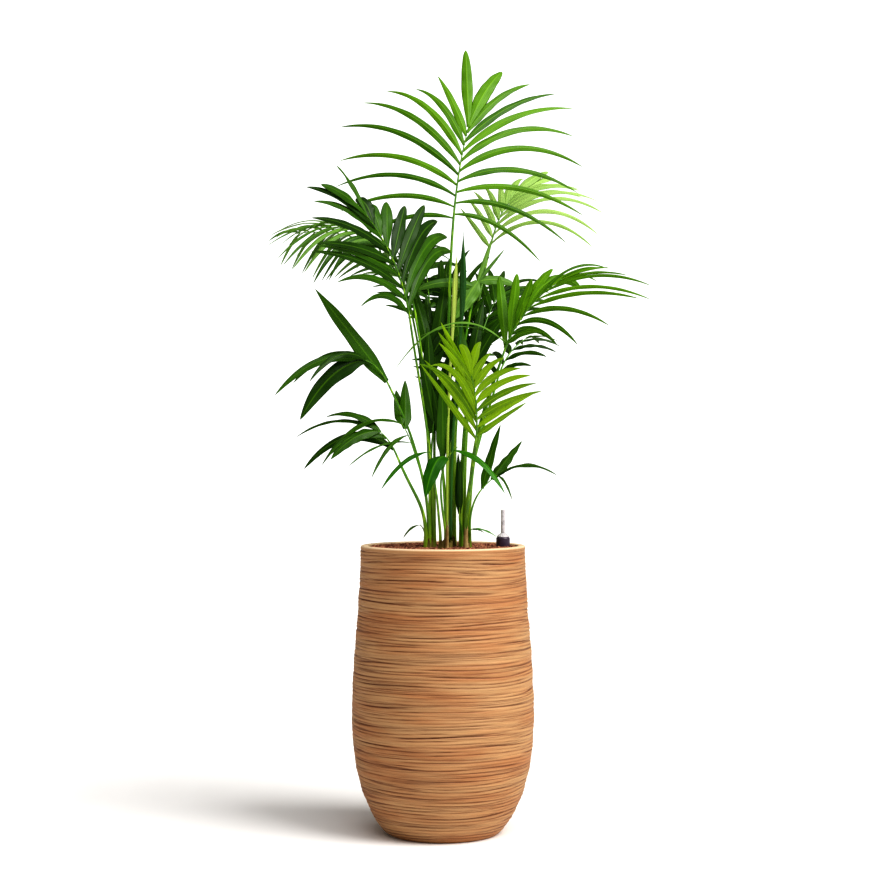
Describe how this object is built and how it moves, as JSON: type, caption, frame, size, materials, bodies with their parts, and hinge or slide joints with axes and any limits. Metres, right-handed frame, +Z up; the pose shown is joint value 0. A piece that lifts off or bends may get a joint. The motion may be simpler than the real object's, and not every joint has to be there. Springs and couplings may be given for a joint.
{
  "type": "potted kentia palm",
  "caption": "Young kentia palm with arching feather fronds on slender green stalks, growing in a tall ribbed clay-coloured planter with a water level gauge.",
  "frame": {"origin": "centre of the planter's flat underside", "axes": "+Z up, +X to the viewer's right, +Y away from the viewer, who sees the side with the water level gauge at the right"},
  "size_m": [0.9472, 0.8159, 1.9713],
  "materials": {
    "planter_clay": "tan and orange-brown, with fine nearly level ribs",
    "substrate": "reddish-brown clay granules",
    "gauge_dark": "dark, satin",
    "gauge_clear": "clear plastic tube, polished",
    "stem_sheath": "fibrous brown sheath",
    "petiole_green": "smooth light green stalk",
    "leaf_mid": "mid-green leaf, satin",
    "leaf_pale": "pale yellow-green leaf",
    "leaf_dark": "dark green leaf, satin",
    "leaf_fine": "fine dark green leaf",
    "leaf_lime": "lime green young leaf",
    "leaf_bright": "bright green leaf",
    "leaf_spear": "pale new leaf that is still folded"
  },
  "bodies": {
    "root": {"planter": "planter_clay", "substrate": "substrate", "gauge_cap": "gauge_dark", "gauge_dome": "gauge_clear", "gauge_tube": "gauge_clear", "stem_left": "stem_sheath", "stem_left_back": "stem_sheath", "stem_front": "stem_sheath", "stem_centre": "stem_sheath", "stem_back": "stem_sheath", "stem_right_back": "stem_sheath", "stem_right": "stem_sheath", "petiole_crown": "petiole_green", "petiole_back_right": "petiole_green", "petiole_left_front": "petiole_green", "petiole_left_back": "petiole_green", "petiole_back_left": "petiole_green", "petiole_centre_left": "petiole_green", "petiole_centre_back": "petiole_green", "petiole_centre_right": "petiole_green", "petiole_right": "petiole_green", "petiole_right_back": "petiole_green", "petiole_back_low": "petiole_green", "petiole_young_front": "petiole_green", "petiole_left_broad": "petiole_green", "petiole_left_low": "petiole_green", "petiole_left_mid": "petiole_green", "petiole_right_low": "petiole_green", "petiole_front_arch": "petiole_green", "petiole_front_low": "petiole_green", "petiole_foot_right": "petiole_green", "petiole_foot_left": "petiole_green", "frond_crown": "leaf_mid", "frond_back_right": "leaf_pale", "frond_left_front": "leaf_dark", "frond_left_back": "leaf_fine", "frond_back_left": "leaf_dark", "frond_centre_left": "leaf_dark", "frond_centre_back": "leaf_dark", "frond_centre_right": "leaf_dark", "frond_right": "leaf_mid", "frond_right_back": "leaf_dark", "frond_back_low": "leaf_dark", "frond_young_front": "leaf_lime", "frond_left_broad": "leaf_dark", "frond_left_low": "leaf_dark", "frond_left_mid": "leaf_dark", "frond_right_low": "leaf_dark", "frond_front_arch": "leaf_bright", "frond_front_low": "leaf_bright", "frond_foot_right": "leaf_bright", "frond_foot_left": "leaf_dark", "spear_pale": "leaf_spear", "spear_dark": "leaf_dark"}
  },
  "joints": []
}
